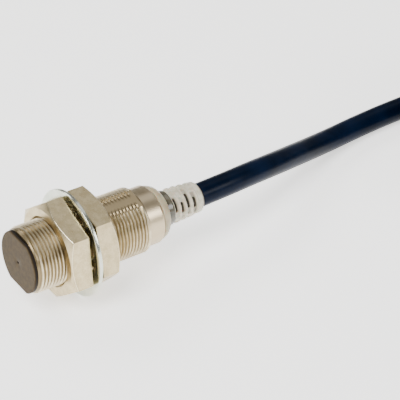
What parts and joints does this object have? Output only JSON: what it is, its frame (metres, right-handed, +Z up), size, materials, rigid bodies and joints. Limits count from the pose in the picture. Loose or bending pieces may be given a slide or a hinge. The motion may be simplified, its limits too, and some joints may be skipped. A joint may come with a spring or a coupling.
{
  "type": "inductive proximity sensor",
  "caption": "Threaded cylindrical inductive proximity sensor with flush sensing face, hex nuts, toothed lock washer and a fixed cable with bare leads.",
  "frame": {"origin": "centre of the sensing face, on the barrel's axis", "axes": "+X along the barrel from the sensing face to the cable, +Z up; the washer's rim and the cable lie on the surface 14.5 mm below the axis"},
  "size_m": [0.2242, 0.0924, 0.029],
  "materials": {
    "cap_resin": "matte moulded resin",
    "plated_brass": "satin nickel plate over brass",
    "zinc_steel": "pale zinc plate",
    "ferrite": "fired ferrite",
    "bobbin_plastic": "moulded",
    "copper": "copper",
    "dark_plastic": "moulded",
    "board_laminate": "solder mask",
    "capacitor_ceramic": "fired ceramic",
    "white_ceramic": "fired ceramic",
    "led_resin": "clear resin",
    "ring_plastic": "pale translucent",
    "clamp_plastic": "grey translucent",
    "boot_rubber": "ivory, satin",
    "brown_insulation": "wire insulation",
    "blue_insulation": "wire insulation",
    "black_insulation": "wire insulation",
    "cable_jacket": "glossy navy black",
    "tie_plastic": "moulded nylon"
  },
  "bodies": {
    "sensor": {"sensing_cap": "cap_resin", "barrel": "plated_brass", "ferrite_core": "ferrite", "coil_bobbin": "bobbin_plastic", "coil_winding": "copper", "winding_ends": "copper", "core_carrier": "dark_plastic", "circuit_board": "board_laminate", "oscillator_chip": "dark_plastic", "output_transistor": "dark_plastic", "voltage_regulator": "dark_plastic", "chip_capacitors": "capacitor_ceramic", "chip_resistors": "dark_plastic", "trimmed_resistor": "white_ceramic", "indicator_leds": "led_resin", "shield_foil": "copper", "light_ring": "ring_plastic", "cable_clamp": "clamp_plastic", "crimp_sleeve": "zinc_steel", "strain_relief_boot": "boot_rubber", "board_lead_brown": "brown_insulation", "board_lead_blue": "blue_insulation", "board_lead_black": "black_insulation", "cable": "cable_jacket", "cable_coil": "cable_jacket", "coil_ties": "tie_plastic", "end_lead_brown": "brown_insulation", "end_lead_blue": "blue_insulation", "end_lead_black": "black_insulation", "lead_tips": "copper"},
    "lock_washer": {"lock_washer": "zinc_steel"},
    "rear_nut": {"rear_nut": "plated_brass"},
    "front_nut": {"front_nut": "plated_brass"}
  },
  "joints": [
    {"name": "front_nut_travel", "type": "slide", "parent": "sensor", "child": "front_nut", "axis": [-1, 0, 0], "range_m": [0, 0.007]},
    {"name": "washer_travel", "type": "slide", "parent": "sensor", "child": "lock_washer", "axis": [1, 0, 0], "range_m": [-0.00041, 0.01101]},
    {"name": "rear_nut_turn", "type": "hinge", "parent": "lock_washer", "child": "rear_nut", "pos_m": [0.02, 0, 0], "axis": [1, 0, 0], "range_deg": [-144, 3960]}
  ],
  "couplings": [
    {"joint": "washer_travel", "follows": "rear_nut_turn", "m_per_rad": 0.00015915}
  ]
}
